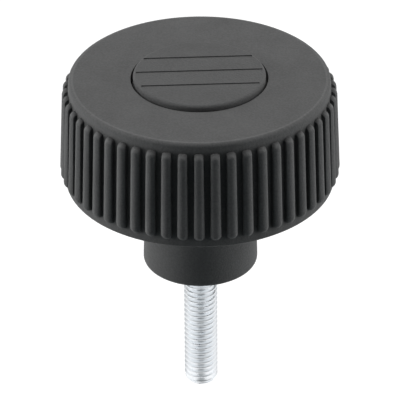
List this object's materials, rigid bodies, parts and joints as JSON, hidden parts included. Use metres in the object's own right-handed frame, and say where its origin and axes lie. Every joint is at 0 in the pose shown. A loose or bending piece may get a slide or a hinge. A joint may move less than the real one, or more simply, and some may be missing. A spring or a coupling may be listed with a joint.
{
  "type": "knurled knob",
  "caption": "Round grip knob with a ribbed rim, a plain hub below it, a grooved plug cap in its top face and a threaded stud standing out of the hub.",
  "frame": {"origin": "middle of the hub's bearing face, where the stud leaves the hub", "axes": "+Z along the knob's axis, out of the plug cap; the stud points along -Z; one rib faces -Y"},
  "size_m": [0.0488, 0.0487, 0.063],
  "materials": {
    "dark_plastic": "moulded, fine matte",
    "zinc_plated_steel": "bright zinc plate"
  },
  "bodies": {
    "root": {"knob_body": "dark_plastic", "plug_cap": "dark_plastic", "threaded_stud": "zinc_plated_steel"}
  },
  "joints": []
}
